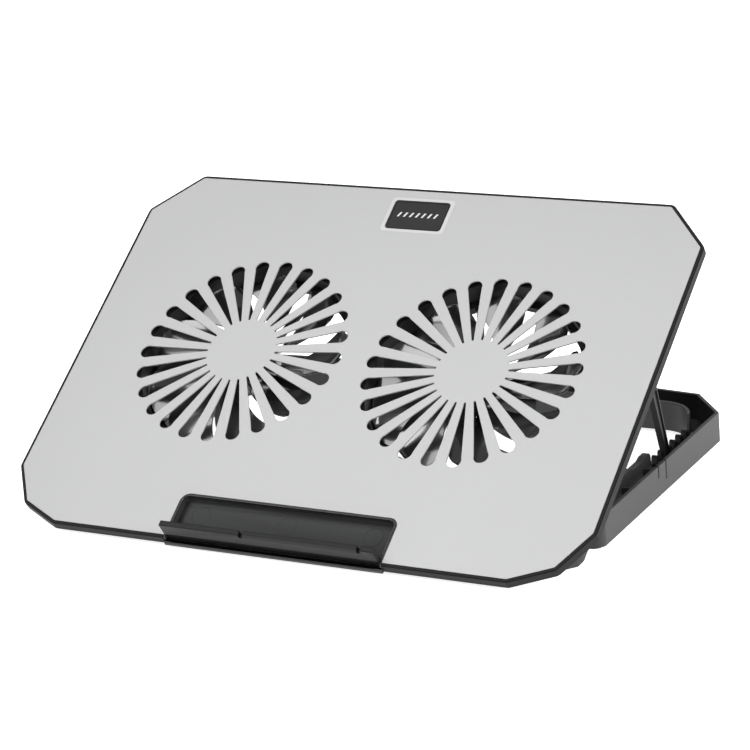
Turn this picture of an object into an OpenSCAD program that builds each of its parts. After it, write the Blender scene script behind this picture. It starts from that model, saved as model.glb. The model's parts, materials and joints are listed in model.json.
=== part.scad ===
// Laptop cooling pad: a thin two-fan deck hinged at its front on a folding U-shaped base,
// held up by two swing-out legs whose toes stand beside toothed racks.
//
// The deck and the base are both drawn in the folded pose, in deck coordinates: X to the right,
// Y to the rear from the front edge of the metal panel, Z up from the panel's face.
// on_table() then drops the base onto the table and on_deck() swings the deck up about its hinge.

/* [Deck] */
// Width of the metal panel
panel_w = 354; // [300:1:420]
// Depth of the metal panel, front to rear
panel_d = 251; // [220:1:310]
// Thickness of the metal panel
panel_t = 0.8; // [0.5:0.1:1.5]
// Cut of the rear corners along the width
rear_cut_x = 25.5; // [15:0.5:32]
// Cut of the rear corners along the depth
rear_cut_y = 27; // [15:0.5:32]
// Width of the plastic rim that shows round the panel
rim_w = 2.1; // [1.5:0.1:4]
// Height of the plastic rim
rim_h = 5.4; // [5:0.1:8]
// Wall thickness of the moulded shells
wall = 2; // [1.6:0.1:3]
// How far the deep underside is set in from the panel's sides
belly_inset = 11; // [9:0.5:14]
// Depth of the front foot block below the panel's face
block_depth = 23.4; // [22:0.1:27]
// Depth of the fan tub below the panel's face
tub_depth = 20.4; // [19.5:0.1:22]

/* [Tilt] */
// Angle of the deck in the raised pose
tilt = 33.7; // [30:0.1:36]
// Distance of the deck hinge behind the panel's front edge
hinge_y = 26.8; // [24:0.1:30]
// Depth of the deck hinge below the panel's face
hinge_z = 14.3; // [13:0.1:16]
// Diameter of the deck hinge pins
hinge_pin_d = 4; // [3:0.5:5]

/* [Base] */
// Height of the base frame
base_h = 17.7; // [16:0.1:20]
// Thickness of the rubber feet
foot_h = 1.8; // [1:0.1:4]
// Wall thickness of the base frame
base_wall = 2.2; // [1.8:0.1:3]
// Width of the channel in the base's side arms
arm_w = 17; // [16:0.5:20]
// Depth of the base's rear bar, front to rear
rear_bar_d = 21.5; // [18:0.5:24]
// Spacing of the rack teeth
rack_pitch = 8.6; // [8:0.1:10]
// Number of rack teeth
rack_teeth = 6; // [4:1:6]
// Height of the rack teeth
tooth_h = 5.4; // [4:0.1:6]

/* [Legs] */
// Distance from the leg's pivot to the centre of its toe
leg_l = 90.1; // [86:0.1:94]
// Lean of the raised legs from upright
leg_lean = 19.9; // [16:0.1:24]
// Thickness of a leg across the object
leg_t = 4; // [3:0.1:4.4]
// Diameter of the leg pivot pins
leg_pin_d = 3; // [2:0.5:3.5]

/* [Fans] */
// Distance of each fan's centre from the middle
fan_x = 72.9; // [70:0.1:85]
// Distance of the fan centres behind the panel's front edge
fan_y = 127.6; // [120:0.1:150]
// Outer radius of the ring of slots
grille_r = 64.7; // [55:0.1:66]
// Inner radius of the ring of slots
grille_core_r = 21.5; // [18:0.5:28]
// Slots in each grille
slots = 25; // [15:1:29]
// Width of a slot at its round outer end
slot_w = 8.6; // [6:0.1:9]
// Radius of the fan blades
blade_r = 61; // [50:0.5:62]
// Radius of the fan hub
hub_r = 20; // [16:0.5:24]
// Blades on each fan
blades = 9; // [5:1:11]

/* [Laptop stop] */
// Width of the stop flap
flap_w = 132; // [90:1:150]
// Height of the raised flap above the panel
flap_h = 10.5; // [8:0.5:16]
// Thickness of the flap's free edge
flap_t = 3.5; // [3:0.1:4]
// Depth of the flap's tray, front to rear
tray_d = 28; // [24:0.5:36]

/* [Badge] */
// Width of the badge
badge_w = 35.5; // [25:0.5:60]
// Depth of the badge
badge_d = 20.8; // [15:0.1:30]
// Gap between the badge and the panel's rear edge
badge_gap = 7.7; // [5:0.1:20]

/* [Controls] */
// Distance between the two power sockets
port_pitch = 19; // [17:0.5:24]
// Radius of the speed dial
dial_r = 8; // [6:0.5:9]

/* [Hidden] */
$fn = 64;

eps = 0.01;
gap = 0.3;            // clearance between separate mouldings
run = 0.05;           // radial clearance of a turning fit

// Deck outline: the front corners have two cuts, the rear corners one.
half_w = panel_w / 2;
front_cut = [37.5, 13.9, 10.6, 33.8];   // front edge in, knee in, knee back, side back
deck_pts = [
    [-half_w + front_cut[0], 0], [half_w - front_cut[0], 0],
    [half_w - front_cut[1], front_cut[2]], [half_w, front_cut[3]],
    [half_w, panel_d - rear_cut_y], [half_w - rear_cut_x, panel_d],
    [-half_w + rear_cut_x, panel_d], [-half_w, panel_d - rear_cut_y],
    [-half_w, front_cut[3]], [-half_w + front_cut[1], front_cut[2]]
];

// Heights in the deck, below the panel's face
plate_z = -panel_t;                 // top of the frame's inner plate
plate_t = 2;
skirt_in = 1.2;                     // the skirt's inner face, inside the panel's edge
cover_t = 1.8;                      // flange of the bottom shell
belly_w = half_w - belly_inset;     // half width of the foot block

// Front foot block: its front edges run parallel to the deck's, with a short cut at the corner
block_front = belly_inset;
block_back = 58;
block_knee = [belly_w - 1.9, 26.8];
block_pts = [
    [-belly_w, 31], [-block_knee[0], block_knee[1]],
    [-block_knee[0] + 35.2, block_front], [block_knee[0] - 35.2, block_front],
    [block_knee[0], block_knee[1]], [belly_w, 31],
    [belly_w, block_back + 4], [-belly_w, block_back + 4]
];

// Fan tub
tub_w = fan_x + grille_r + 2.4 + gap + wall + 0.7;
tub_back = panel_d - 19;
tub_floor = -tub_depth + wall;
tub_r = 26;                         // rounded corners, clear of the base's corners when folded
shroud_r = grille_r + 2.4;
shroud_in = grille_r - 0.3;
intake_r = blade_r - 2;

// Base frame, in the folded pose
base_top = -rim_h - gap;
base_bottom = base_top - base_h;
base_w = half_w - belly_inset - 1;
base_back = panel_d + 6.6;
base_front = block_back + 3.3;
arm_in = base_w - arm_w;            // inner face of the rack wall
rack_t = 4;
rear_in = base_back - rear_bar_d;
corner_r = 4.5;
bar_corner_r = 20;                  // rounding of the opening's rear corners
bar_front = rear_in - bar_corner_r;
tongue_w = 8;
tongue_x = arm_in + tongue_w / 2;
knuckle_r = 6.5;

// Legs: the toe stands beside a notch of the rack when the deck is raised
function turn(p, a) = [p[0] * cos(a) - p[1] * sin(a), p[0] * sin(a) + p[1] * cos(a)];
hinge = [hinge_y, -hinge_z];
hinge_rise = foot_h - base_bottom - hinge_z;    // height of the hinge above the table
toe_r = 2.6;
toe_z = base_bottom + 8.7;
leg_x = arm_in + rack_t + 0.4 + leg_t / 2;
pivot_drop = 9;
// The pivot's place along the deck follows from the leg's length, its lean and the toe's height
pivot_rise = toe_z + leg_l * cos(leg_lean) + hinge_z;
pivot_y = hinge_y + (pivot_rise - (hinge_z - pivot_drop) * cos(tilt)) / sin(tilt);
pivot = [pivot_y, -pivot_drop];
pivot_up = hinge + turn(pivot - hinge, tilt);
toe = [pivot_up[0] + leg_l * sin(leg_lean), toe_z];
leg_back = leg_lean - tilt;         // the raised leg's angle in the deck, from straight down
leg_front = 3.2;                    // half width towards the deck when folded
leg_rear = 5.2;
leg_w_toe = 4.6;
lug_r = 2.8;
lug_t = 3;

// Ramp under the foot block: it lies flat on the table when the deck is raised
ramp_end = hinge_y + (block_depth - hinge_z - (hinge_rise - 0.3) / cos(tilt)) / tan(tilt);
function ramp_z(y) = -block_depth + (ramp_end - y) * tan(tilt);

// Rack: teeth and valleys are counted from the notch that the toe stands beside
tooth_w = 3.2;
notch_z = toe_z - toe_r - 0.1;
first_tooth = toe[0] - rack_pitch / 2 - 1;
stop_y = first_tooth - rack_pitch - 4.4;
rack_back = first_tooth + rack_pitch * (rack_teeth - 1) + rack_pitch;
channel_front = base_front + 14;
slot_back = toe[0] + 8;             // the floor is open below the leg up to here

// Laptop stop
flap_half = flap_w / 2;
tray_half = flap_half + 1.3;
flap_pin = [2, -3];
flap_pin_d = 2.2;
flap_face = -1;                     // front face of the raised flap
knuckle = 1.9;
tray_floor = -4.6;
lip_out = 3.6;                      // how far the lip stands in front of the panel's edge
lip_h = 3.6;

// Motor
seat_z = tub_floor + gap;
spider_t = 2.2;
motor_r = 15;
stator_r = 14;
stator_h = 7;
bearing_r = 4;
shaft_d = 3;
cup_top = plate_z - plate_t - 2.2;
cup_t = 1.6;
magnet_t = 2;
board_t = 1;
shaft_foot = seat_z + 0.5;

// Controls along the tub's rear wall
port_w = 13.2;
port_h = 5.8;
port_l = 14;
port_t = 0.4;
ctrl_board_t = 1.6;
ctrl_z = tub_floor + 2.4;
port_x = [-28, -28 + port_pitch];
dial_x = 14;
dial_t = 3;
led_x = 30;
led_r = 1.5;
dial_y = tub_back - dial_r + 2.4;
ctrl_half = 38;
ctrl_d = 22;
ctrl_y = tub_back - wall - gap - ctrl_d;

// Screws
screw_r = 1.4;
screw_head_r = 2.6;
screw_head_h = 1.4;

// Colours
plastic = [0.1, 0.1, 0.11];
silver = [0.82, 0.82, 0.83];
steel = [0.65, 0.66, 0.68];
rubber = [0.05, 0.05, 0.05];

// ---------- placing ----------

rest_lift = -base_bottom + foot_h;
raised_front = hinge + turn([flap_face, flap_h] - hinge, tilt);
mid_y = (raised_front[0] + base_back) / 2;

module on_table() translate([0, -mid_y, rest_lift]) children();

module on_deck()
    on_table()
    translate([0, hinge[0], hinge[1]])
    rotate([tilt, 0, 0])
    translate([0, -hinge[0], -hinge[1]])
    children();

module both_sides() {
    children();
    mirror([1, 0, 0]) children();
}

// ---------- shapes ----------

// A convex outline, counter-clockwise, moved inwards by d
function unit(v) = v / norm(v);
function left_of(v) = [-v[1], v[0]];
function inset(pts, d) = [
    for (i = [0 : len(pts) - 1])
        let (n = len(pts), p = pts[i],
             a = left_of(unit(p - pts[(i + n - 1) % n])),
             b = left_of(unit(pts[(i + 1) % n] - p)))
        p + d * (a + b) / (1 + a * b)
];

// The same outline with its corners rounded to radius r
function rounded(pts, r) = let (mid = inset(pts, r), n = len(pts)) [
    for (i = [0 : n - 1])
        let (u = pts[i] - pts[(i + n - 1) % n], v = pts[(i + 1) % n] - pts[i],
             a = atan2(-u[0], u[1]), b = atan2(-v[0], v[1]), sweep = b < a ? b + 360 - a : b - a)
        for (k = [0 : 4])
            mid[i] + r * [cos(a + sweep * k / 4), sin(a + sweep * k / 4)]
];

// A flat plate with the given outline between two heights
module plate(pts, low, high) translate([0, 0, low]) linear_extrude(high - low) polygon(pts);

// A plate standing across X, from a profile given in Y and Z
module across(pts, x0, x1)
    translate([x0, 0, 0])
    rotate([90, 0, 90])
    linear_extrude(x1 - x0)
    polygon(pts);

// A round bar along X, at a place given in Y and Z
module bar(at, x0, x1, r)
    translate([x0, at[0], at[1]])
    rotate([0, 90, 0])
    cylinder(r = r, h = x1 - x0);

// A block with rounded upright corners, centred on X and Y
module pillow(w, d, h, r) {
    translate([-w / 2 + r, -d / 2, 0]) cube([w - 2 * r, d, h]);
    translate([-w / 2, -d / 2 + r, 0]) cube([w, d - 2 * r, h]);
    for (x = [-1, 1], y = [-1, 1])
        translate([x * (w / 2 - r), y * (d / 2 - r), 0]) cylinder(r = r, h = h);
}

// One tapered slot, pointed towards the middle and round outside
slot_tip = 1.2;
module slot(low, high) {
    mid = grille_r - slot_w / 2;
    translate([mid, 0, low]) cylinder(r = slot_w / 2, h = high - low, $fn = 48);
    translate([0, 0, low])
        linear_extrude(high - low)
        polygon([
            [grille_core_r, -slot_tip / 2], [mid, -slot_w * 0.485],
            [mid, slot_w * 0.485], [grille_core_r, slot_tip / 2]
        ]);
}

// The right grille mirrors the left one, so the lone slot on the axis points to the middle
module grille(side)
    for (i = [0 : slots - 1])
        rotate([0, 0, (side < 0 ? 0 : 180) + i * 360 / slots]) slot(-panel_t - 1, 1);

module at_fan(side) translate([side * fan_x, fan_y, 0]) children();

module screw(length) {
    cylinder(r = screw_r, h = length, $fn = 24);
    difference() {
        translate([0, 0, -screw_head_h]) cylinder(r = screw_head_r, h = screw_head_h, $fn = 32);
        for (a = [0, 90])
            rotate([0, 0, a]) translate([-1.6, -0.3, -screw_head_h - 1]) cube([3.2, 0.6, 1.8]);
    }
}

// ---------- base ----------

base_pts = [
    [-base_w, base_front], [base_w, base_front],
    [base_w, base_back - rear_cut_y - 2.6], [base_w - rear_cut_x + 2.8, base_back - 3],
    [base_w - rear_cut_x - 27.5, base_back], [-base_w + rear_cut_x + 27.5, base_back],
    [-base_w + rear_cut_x - 2.8, base_back - 3], [-base_w, base_back - rear_cut_y - 2.6]
];

module arm_corner_cut()
    translate([base_w - corner_r, base_front + corner_r, base_bottom - 1])
    difference() {
        translate([0, -corner_r - 1, 0]) cube([corner_r + 1, corner_r + 1, base_h + 2]);
        translate([0, 0, -1]) cylinder(r = corner_r, h = base_h + 4);
    }

// Toothed edge of the rack wall, as a profile in Y and Z
module rack_teeth_profile() {
    for (i = [0 : rack_teeth - 1]) {
        y = first_tooth + i * rack_pitch;
        across([
            [y - tooth_w / 2 - 0.5, notch_z - eps], [y + tooth_w / 2 + 0.5, notch_z - eps],
            [y + tooth_w / 2, notch_z + tooth_h - tooth_w / 2], [y - tooth_w / 2, notch_z + tooth_h - tooth_w / 2]
        ], arm_in, arm_in + rack_t);
        bar([y, notch_z + tooth_h - tooth_w / 2], arm_in, arm_in + rack_t, tooth_w / 2);
    }
}

// The rack wall is full height in front of its end stop, and low along the notches
module rack_wall() {
    across([
        [base_front + 1, base_bottom], [rack_back + 2, base_bottom], [rack_back + 2, notch_z],
        [stop_y + 4.6, notch_z], [stop_y + 3.4, notch_z + 2.4], [stop_y + 2, base_top - 2],
        [stop_y + 0.6, base_top - 0.4], [stop_y - 0.8, base_top - 0.1], [stop_y - 6, base_top - 0.1],
        [stop_y - 10, base_top - 1.6], [stop_y - 22, base_top - 1.6], [stop_y - 25, base_top - 0.1],
        [base_front + 1, base_top - 0.1]
    ], arm_in, arm_in + rack_t);
    rack_teeth_profile();
}

// Two short slits leave a springy tongue in the side wall beside the rack
module tongue_slits()
    for (s = [[36.4, 7], [25.9, 11]])
        translate([base_w - base_wall - 1, toe[0] - s[0], base_top - s[1]])
            cube([base_wall + 2, 1.1, base_h]);

rib_at = [base_front + 43.5, base_front + 72.5];
module base_arm() {
    difference() {
        translate([arm_in, base_front, base_bottom]) cube([arm_w, bar_front - base_front, base_h]);
        // the channel is open above, and below the leg so that the leg can swing through it
        translate([arm_in - 1, channel_front, base_bottom + base_wall])
            cube([arm_w - base_wall + 1, bar_front - channel_front + 1, base_h]);
        translate([arm_in + rack_t, channel_front, base_bottom - 1])
            cube([leg_t + 1.4, slot_back - channel_front, base_h]);
        // the front end is hollow from above
        translate([arm_in + rack_t, base_front + base_wall, base_bottom + base_wall])
            cube([arm_w - rack_t - base_wall, channel_front - base_front - 2 * base_wall, base_h]);
        arm_corner_cut();
        tongue_slits();
    }
    rack_wall();
    // cross ribs beside the leg, and a rounded catch on the springy tongue
    for (y = rib_at)
        translate([arm_in + rack_t + leg_t + 1.4, y, base_bottom])
            cube([arm_w - rack_t - leg_t - 1.4 - eps, 1.4, base_h - 0.5]);
    translate([base_w - base_wall, toe[0] - 35.2, base_top - 4.2])
        rotate([-90, 0, 0]) cylinder(r = 2, h = 8.9, $fn = 32);
    // tongue and knuckle that reach forward to the deck hinge
    difference() {
        union() {
            across([
                [hinge_y, -hinge_z - knuckle_r], [base_front + 4, base_bottom],
                [base_front + 4, base_top - 1], [base_front, base_top - 1], [hinge_y, -hinge_z + knuckle_r]
            ], tongue_x - tongue_w / 2, tongue_x + tongue_w / 2);
            bar(hinge, tongue_x - tongue_w / 2, tongue_x + tongue_w / 2, knuckle_r);
        }
        bar(hinge, tongue_x - tongue_w, tongue_x + tongue_w, hinge_pin_d / 2);
    }
}

// Feet: places of the rubber pads under the base
foot_r = 5.5;
foot_sink = 0.8;
foot_at = [
    [base_w - 8.5, base_front + 7.2], [-base_w + 8.5, base_front + 7.2],
    [base_w - 45, base_back - rear_bar_d / 2], [-base_w + 45, base_back - rear_bar_d / 2]
];
cable_gap_w = 90;

module rear_bar() {
    difference() {
        intersection() {
            plate(base_pts, base_bottom, base_top);
            translate([-base_w, bar_front - eps, base_bottom])
                cube([2 * base_w, base_back - bar_front + 1, base_h]);
        }
        // the opening between the arms, with rounded rear corners
        translate([0, rear_in - 50, base_bottom - 1]) pillow(2 * arm_in, 100, base_h + 2, bar_corner_r);
        // the open channel between the inner and the outer wall
        intersection() {
            plate(inset(base_pts, base_wall), base_bottom + base_wall, base_top + 1);
            difference() {
                translate([-base_w, bar_front - 1, base_bottom]) cube([2 * base_w, 200, base_h + 2]);
                translate([0, rear_in - 50, base_bottom - 1])
                    pillow(2 * (arm_in + base_wall), 100 + 2 * base_wall, base_h + 4, bar_corner_r + base_wall);
            }
        }
        // the inner wall is low beside the last notches
        both_sides() translate([arm_in - 6, bar_front - 1, notch_z])
            cube([6 + rack_t, rack_back - bar_front + 1, base_h]);
        // low stretch in the middle, where cables leave the sockets
        translate([-cable_gap_w / 2, rear_in - 1, base_bottom + 5])
            cube([cable_gap_w, rear_bar_d + 2, base_h]);
    }
}

module base_frame() color(plastic) on_table() difference() {
    union() {
        rear_bar();
        both_sides() base_arm();
    }
    for (p = foot_at)
        translate([p[0], p[1], base_bottom - 1]) cylinder(r = foot_r, h = 1 + foot_sink);
}

module rubber_feet() color(rubber) on_table()
    for (p = foot_at)
        translate([p[0], p[1], base_bottom - foot_h]) cylinder(r = foot_r, h = foot_h + foot_sink);

pin_in = tongue_x - tongue_w / 2 - 5;
pin_out = tongue_x + tongue_w / 2 + 2.6;
module hinge_pins() color(steel) on_table() both_sides() bar(hinge, pin_in, pin_out, hinge_pin_d / 2);

// ---------- deck shells ----------

// Clear hole for the tray, open to the front
module tray_hole(extra, low, high)
    translate([0, (tray_d - lip_out) / 2 - 3, low])
    pillow(2 * (tray_half + extra), tray_d + lip_out + 6 + 2 * extra, high - low, 5.5 + extra);

module top_frame() color(plastic) on_deck() difference() {
    union() {
        plate(rounded(inset(deck_pts, -rim_w), 5), -rim_h, -0.5);
        plate(rounded(inset(deck_pts, -rim_w + 0.5), 4.5), -0.5 - eps, 0);
    }
    plate(rounded(inset(deck_pts, -0.1), 2.1), plate_z, 1);
    plate(inset(deck_pts, skirt_in), -rim_h - 1, plate_z - plate_t);
    for (side = [-1, 1])
        at_fan(side) translate([0, 0, -rim_h - 1]) cylinder(r = grille_r + 0.8, h = rim_h + 2);
    tray_hole(gap, -rim_h - 1, 1);
    badge_hole(gap);
    for (p = case_screw_at) translate([p[0], p[1], -rim_h - 1]) cylinder(r = screw_r, h = rim_h, $fn = 24);
}

module metal_panel() color(silver) on_deck() difference() {
    plate(rounded(deck_pts, 2), -panel_t, 0);
    for (side = [-1, 1]) at_fan(side) grille(side);
    tray_hole(0.1, -panel_t - 1, 1);
    badge_hole(0.1);
}

badge_y = panel_d - badge_gap - badge_d / 2;
badge_t = 1.4;
module badge_hole(extra)
    translate([0, badge_y, -panel_t - 1])
    pillow(badge_w + 2 * extra, badge_d + 2 * extra, panel_t + 2, 2 + extra);

module badge() color(plastic) on_deck() translate([0, badge_y, plate_z]) difference() {
    pillow(badge_w, badge_d, badge_t, 2);
    translate([0, 0, badge_t - 0.3]) pillow(badge_w - 2.4, badge_d - 2.4, 1, 1);
}

// Tray that the flap folds into, with the lip that stands out in front of the rim
module stop_tray() color(plastic) on_deck() difference() {
    union() {
        tray_solid();
        across([
            [-lip_out, -lip_h - 1.6], [-lip_out + 1, -lip_h - 2.4], [3, -lip_h - 2.4], [3, -lip_h + 1],
            [-lip_out + 0.8, -lip_h + 1], [-lip_out, -lip_h + 0.2]
        ], -tray_half, tray_half);
    }
    // recess for the flap, deeper along the hinge
    translate([0, tray_d / 2 - 2, tray_floor]) pillow(2 * tray_half - 2.6, tray_d + 1.4, 10, 4.2);
    translate([-flap_half - gap, -lip_out - 1, -lip_h + 1]) cube([2 * flap_half + 2 * gap, 12, 10]);
    translate([-flap_half - gap, 2 - knuckle - gap, flap_pin[1] - knuckle - gap])
        cube([2 * (flap_half + gap), 2 * knuckle + 2 * gap, 10]);
    bar(flap_pin, -tray_half - 1, tray_half + 1, flap_pin_d / 2);
}

module tray_solid()
    intersection() {
        tray_hole(-eps, -rim_h - 0.6, 0);
        translate([-panel_w / 2, -rim_w + gap, -rim_h - 1]) cube([panel_w, tray_d + 10, rim_h + 2]);
    }

module flap_pin() color(steel) on_deck()
    bar(flap_pin, -tray_half + 0.2, tray_half - 0.2, flap_pin_d / 2);

// Places of the screws that hold the two shells together
case_screw_at = [
    for (x = [-1, 1]) for (p = [[half_w - 24, 48], [half_w - 7, 110], [half_w - 7, 205], [60, panel_d - 9]])
        [x * p[0], p[1]]
];

module foot_block()
    intersection() {
        plate(rounded(block_pts, 2.5), -block_depth, -rim_h + cover_t);
        across([
            [block_front - 1, ramp_z(block_front - 1)], [ramp_end, -block_depth], [block_back, -block_depth],
            [block_back, -rim_h + cover_t], [block_front - 1, -rim_h + cover_t]
        ], -half_w, half_w);
    }

module foot_block_hollow()
    intersection() {
        plate(inset(block_pts, wall), -block_depth + wall, 0);
        across([
            [block_front, ramp_z(block_front) + wall / cos(tilt)], [ramp_end + 0.6, -block_depth + wall],
            [block_back - wall, -block_depth + wall], [block_back - wall, 0], [block_front, 0]
        ], -tongue_x + tongue_w / 2 + 6, tongue_x - tongue_w / 2 - 6);
    }

tub_mid = (block_back + tub_back) / 2;
tub_len = tub_back - block_back;

module shell_body() {
    plate(inset(deck_pts, skirt_in + gap), -rim_h, -rim_h + cover_t);
    foot_block();
    translate([0, tub_mid - 5, -tub_depth])
        pillow(2 * tub_w, tub_len + 10, tub_depth - rim_h + cover_t, tub_r);
}

module shell_hollow() {
    foot_block_hollow();
    translate([0, tub_mid, tub_floor]) pillow(2 * (tub_w - wall), tub_len - 2 * wall, 30, tub_r - wall);
    // the tub opens into the foot block
    translate([-tub_w + 12, block_back - 8, tub_floor]) cube([2 * tub_w - 24, 16, 30]);
}

// Slots that the base's hinge tongues turn in
module tongue_slot()
    across([
        [hinge_y - knuckle_r - 1, -rim_h - 0.6], [hinge_y - knuckle_r - 1, -block_depth - 1],
        [block_back + 1, -block_depth - 1], [block_back + 1, -rim_h - eps], [hinge_y, -rim_h - 0.6]
    ], tongue_x - tongue_w / 2 - gap, tongue_x + tongue_w / 2 + gap);

// Square holes in the tub's rear wall for the sockets, the dial and the light
module control_holes() {
    for (x = port_x)
        translate([x - port_w / 2 - 0.2, tub_back - wall - 1, ctrl_z + ctrl_board_t - 0.2])
            cube([port_w + 0.4, wall + 2, port_h + 0.4]);
    translate([dial_x - dial_r, tub_back - wall - 1, dial_low - gap])
        cube([2 * dial_r, wall + 2, dial_t + 2 * gap]);
    translate([led_x, tub_back - wall - 1, ctrl_z + ctrl_board_t + 2.5])
        rotate([-90, 0, 0]) cylinder(r = led_r + 0.1, h = wall + 2, $fn = 32);
}

module leg_lugs() difference() {
    for (x = [leg_x - leg_t / 2 - gap - lug_t, leg_x + leg_t / 2 + gap]) {
        bar(pivot, x, x + lug_t, lug_r);
        translate([x, pivot[0] - lug_r, -pivot_drop]) cube([lug_t, 2 * lug_r, pivot_drop - rim_h + eps]);
    }
    bar(pivot, leg_x - 10, leg_x + 10, leg_pin_d / 2);
}

module bottom_shell() color(plastic) on_deck() difference() {
    union() {
        difference() {
            shell_body();
            shell_hollow();
            both_sides() tongue_slot();
        }
        both_sides() leg_lugs();
        for (p = case_screw_at) translate([p[0], p[1], -rim_h])
            cylinder(r = 3.6, h = rim_h + plate_z - plate_t - 0.1, $fn = 32);
    }
    for (side = [-1, 1]) at_fan(side) translate([0, 0, -tub_depth - 1]) cylinder(r = intake_r, h = wall + 2);
    control_holes();
    tray_hole(gap, -rim_h - 0.8, 1);
    both_sides() bar(hinge, pin_in - 0.5, pin_out + 0.2, hinge_pin_d / 2 + run);
    for (p = case_screw_at) {
        translate([p[0], p[1], -rim_h - 20]) cylinder(r = screw_r, h = 30, $fn = 24);
        translate([p[0], p[1], -rim_h - 20])
            cylinder(r = screw_head_r + 0.2, h = 20 + screw_head_h, $fn = 32);
    }
    for (p = fan_screw_at) translate([p[0], p[1], -tub_depth - 1]) {
        cylinder(r = screw_r, h = 10, $fn = 24);
        cylinder(r = screw_head_r + 0.2, h = 1 + screw_head_h, $fn = 32);
    }
    for (p = board_screw_at) translate([p[0], p[1], tub_floor - 1.2]) cylinder(r = screw_r, h = 3, $fn = 24);
}

deck_foot_at = [[110, 46], [-110, 46]];
module deck_feet() color(rubber) on_deck()
    for (p = deck_foot_at)
        translate([p[0], p[1], -block_depth - foot_h]) cylinder(r = foot_r, h = foot_h);

// ---------- fans ----------

// Three ears on each housing take the fan screws
ear_a = [45, 135, 270];
ear_r = shroud_r - 1.2;
fan_screw_at = [
    for (side = [-1, 1]) for (a = ear_a)
        [side * (fan_x + ear_r * cos(a)), fan_y + ear_r * sin(a)]
];

module fan_housing(side) on_deck() at_fan(side) mirror([side < 0 ? 1 : 0, 0, 0]) difference() {
    union() {
        difference() {
            translate([0, 0, seat_z]) cylinder(r = shroud_r, h = plate_z - plate_t - gap - seat_z, $fn = 96);
            translate([0, 0, seat_z - 1]) cylinder(r = intake_r, h = 30, $fn = 96);
            translate([0, 0, seat_z + spider_t]) cylinder(r = shroud_in - 1.6, h = 30, $fn = 96);
        }
        translate([0, 0, seat_z]) cylinder(r = motor_r + 2, h = spider_t);
        translate([0, 0, seat_z]) cylinder(r = bearing_r + 1.4, h = 8);
        for (a = [20 : 90 : 290])
            rotate([0, 0, a]) translate([motor_r, -2, seat_z]) cube([intake_r - motor_r + 2, 4, spider_t]);
    }
    translate([0, 0, seat_z + 1]) cylinder(r = bearing_r, h = 20);
    for (a = ear_a)
        translate([ear_r * cos(a), ear_r * sin(a), seat_z - 1]) cylinder(r = screw_r, h = 7, $fn = 24);
    // groove for the lead
    rotate([0, 0, lead_a])
        translate([bearing_r + 3, -lead_w / 2 - 0.1, lead_low - 0.1]) cube([shroud_r, lead_w + 0.2, 3]);
}
module fan_housing_left() color(plastic) fan_housing(-1);
module fan_housing_right() color(plastic) fan_housing(1);

board_low = seat_z + spider_t;
module motor_board(side) color([0.1, 0.35, 0.2]) on_deck() at_fan(side) difference() {
    translate([0, 0, board_low]) cylinder(r = motor_r, h = board_t);
    translate([0, 0, board_low - 1]) cylinder(r = bearing_r + 1.5, h = 5);
}
module motor_board_left() motor_board(-1);
module motor_board_right() motor_board(1);

// Four-pole core with a winding on each pole
stator_low = board_low + board_t + 0.2;
module stator(side) color([0.72, 0.42, 0.2]) on_deck() at_fan(side) translate([0, 0, stator_low]) difference() {
    union() {
        cylinder(r = bearing_r + 3, h = stator_h);
        for (a = [0 : 90 : 270]) rotate([0, 0, a]) {
            translate([0, -3, 1]) cube([stator_r - 1.2, 6, stator_h - 2]);
            intersection() {
                difference() {
                    cylinder(r = stator_r, h = stator_h);
                    translate([0, 0, -1]) cylinder(r = stator_r - 1.8, h = stator_h + 2);
                }
                translate([0, -7, 0]) cube([stator_r + 1, 14, stator_h]);
            }
        }
    }
    translate([0, 0, -1]) cylinder(r = bearing_r + 1.5, h = stator_h + 2);
}
module stator_left() stator(-1);
module stator_right() stator(1);

bearing_low = seat_z + 1;
bearing_h = 9;
module bearing(side) color([0.75, 0.6, 0.3]) on_deck() at_fan(side) translate([0, 0, bearing_low]) difference() {
    cylinder(r = bearing_r, h = bearing_h);
    translate([0, 0, 0.8]) cylinder(r = shaft_d / 2 + run, h = bearing_h);
}
module bearing_left() bearing(-1);
module bearing_right() bearing(1);

cup_low = stator_low + 0.6;
module shaft(side) color(steel) on_deck() at_fan(side)
    translate([0, 0, bearing_low + 1]) cylinder(r = shaft_d / 2, h = cup_top - bearing_low - 1 - 0.4);
module shaft_left() shaft(-1);
module shaft_right() shaft(1);

module magnet(side) color([0.25, 0.24, 0.24]) on_deck() at_fan(side) translate([0, 0, cup_low]) difference() {
    cylinder(r = hub_r - cup_t, h = cup_top - cup_t - cup_low);
    translate([0, 0, -1]) cylinder(r = hub_r - cup_t - magnet_t, h = 30);
}
module magnet_left() magnet(-1);
module magnet_right() magnet(1);

// Blade: a flat swept plate set at a pitch, trimmed to the fan's radius
blade_pitch = 24;
blade_t = 1.3;
blade_mid = (cup_top + cup_low) / 2 - 0.2;
function arc_points(cx, cy, r, a0, a1, n) =
    [for (i = [0 : n]) [cx + r * cos(a0 + (a1 - a0) * i / n), cy + r * sin(a0 + (a1 - a0) * i / n)]];
module blade_outline() polygon(concat(
    arc_points(30, -46, 52, 118, 55, 8),
    arc_points(22, -78, 75, 55, 97, 8)
));

module blade()
    intersection() {
        rotate([0, 0, -6])
            translate([0, 0, blade_mid])
            rotate([blade_pitch, 0, 0])
            translate([0, 0, -blade_t / 2])
            linear_extrude(blade_t)
            blade_outline();
        difference() {
            translate([0, 0, seat_z + spider_t + 0.6]) cylinder(r = blade_r, h = cup_top - seat_z - spider_t - 0.8);
            translate([0, 0, seat_z]) cylinder(r = hub_r - 0.6, h = 30);
        }
    }

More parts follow.
